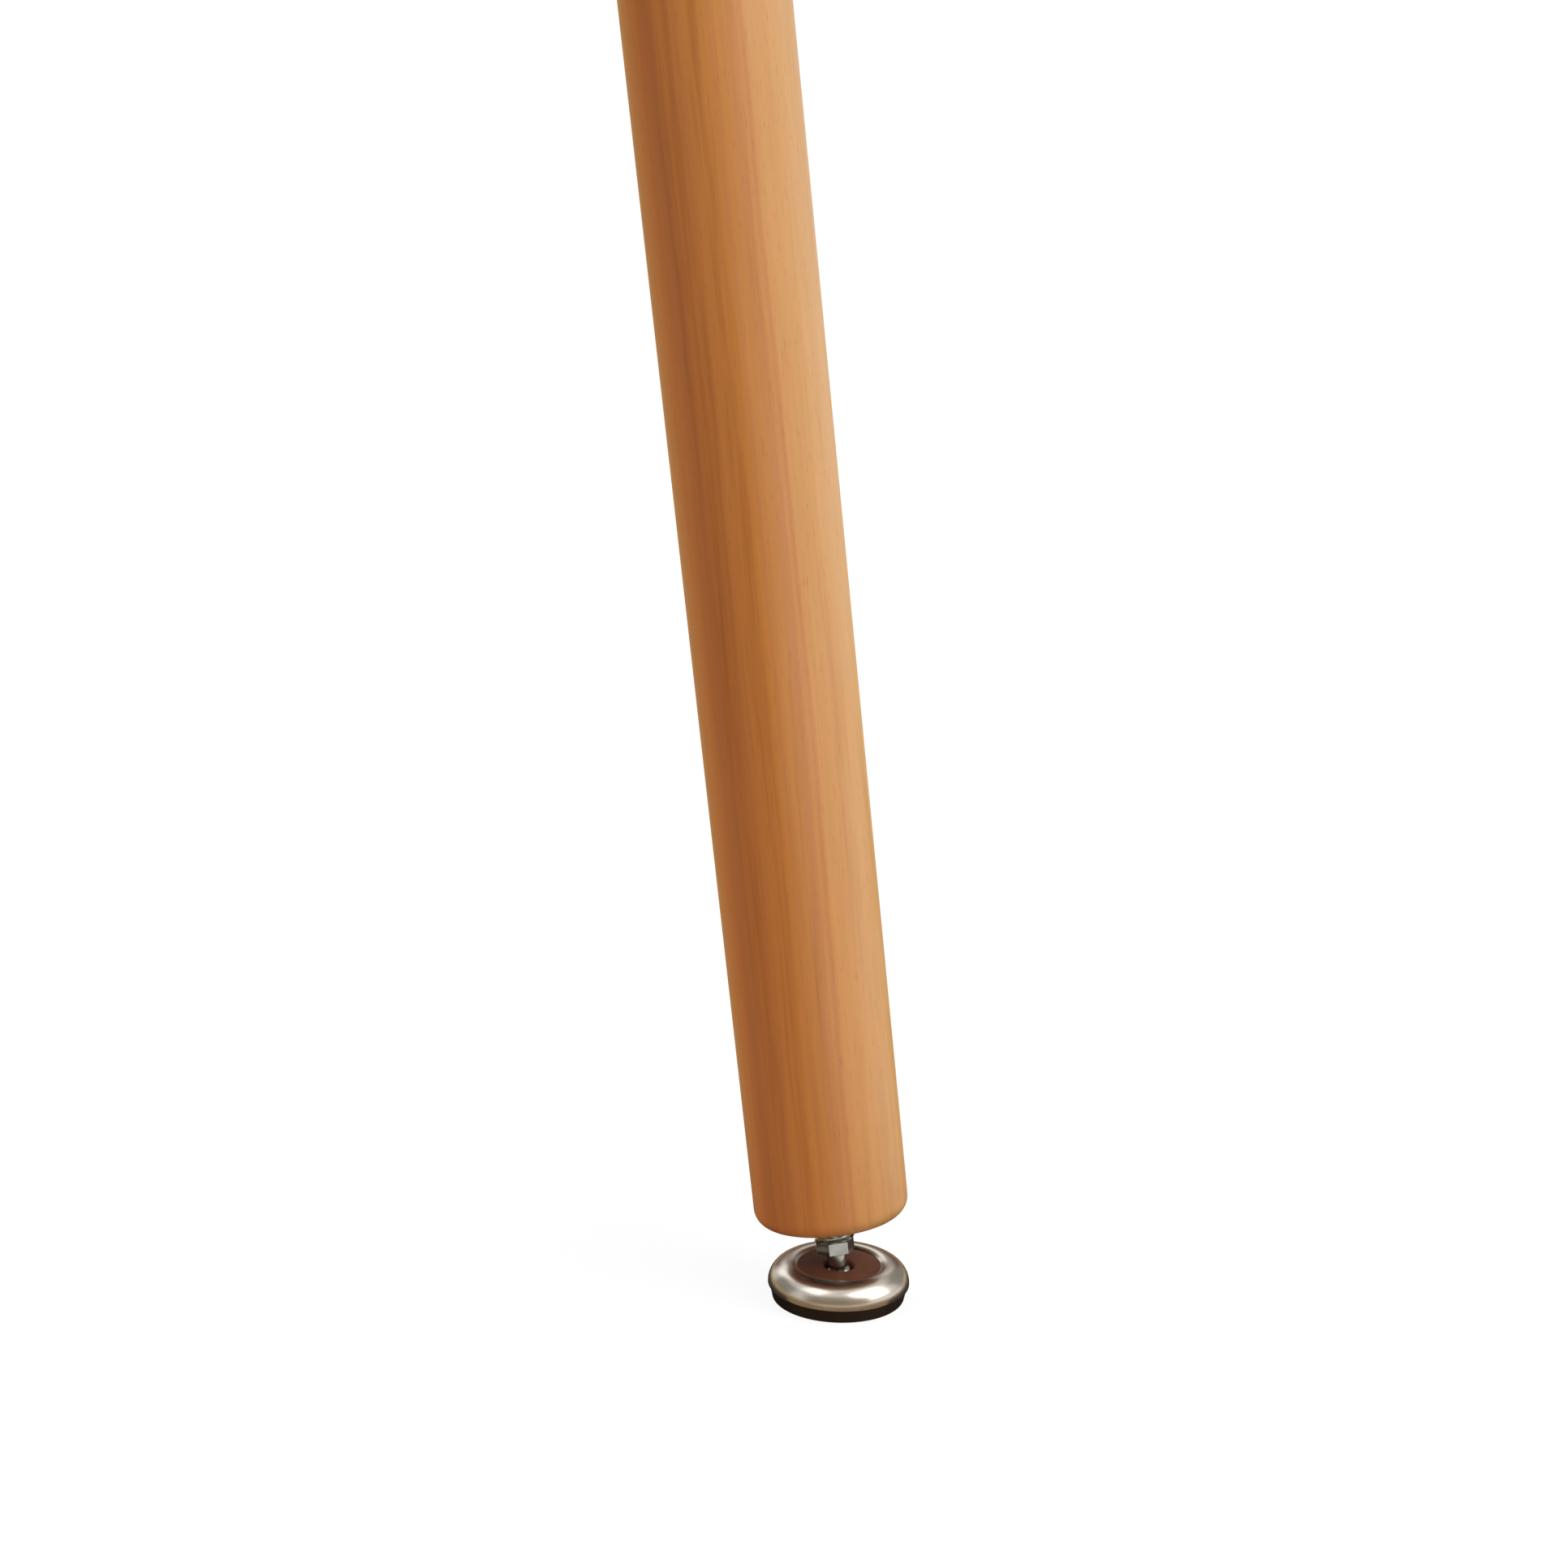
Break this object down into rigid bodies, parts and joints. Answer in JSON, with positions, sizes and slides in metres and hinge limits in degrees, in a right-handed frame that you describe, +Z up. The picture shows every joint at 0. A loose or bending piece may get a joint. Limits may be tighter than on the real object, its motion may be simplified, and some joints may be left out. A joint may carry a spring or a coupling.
{
  "type": "furniture leg",
  "caption": "Round tapered wooden furniture leg, splayed, with a bolt at its top end and a plated swivelling levelling foot on a threaded stud.",
  "frame": {"origin": "centre of the foot's floor face", "axes": "+Z up, away from the floor; the leg leans towards -X as it rises, in the XZ plane"},
  "size_m": [0.1448, 0.0394, 0.7332],
  "materials": {
    "lacquered_beech": "honey-toned beech, satin lacquer",
    "zinc_steel": "zinc-plated steel",
    "stud_steel": "bright zinc-plated steel",
    "nickel_plate": "polished nickel plate",
    "brown_plastic": "dark brown moulded plastic",
    "bolt_steel": "zinc-plated steel"
  },
  "bodies": {
    "leg": {"leg": "lacquered_beech", "foot_insert": "zinc_steel", "hanger_bolt": "bolt_steel"},
    "stud": {"levelling_stud": "stud_steel"},
    "foot": {"cap_ring": "nickel_plate", "swivel_base": "brown_plastic"}
  },
  "joints": [
    {"name": "foot_height", "type": "slide", "parent": "leg", "child": "stud", "axis": [0.1564, 0, -0.9877], "range_m": [-0.004, 0.02]},
    {"name": "pad_tilt", "type": "hinge", "parent": "stud", "child": "foot", "pos_m": [0, 0, 0.0041], "axis": [0, 1, 0], "range_deg": [-24, 6]}
  ]
}
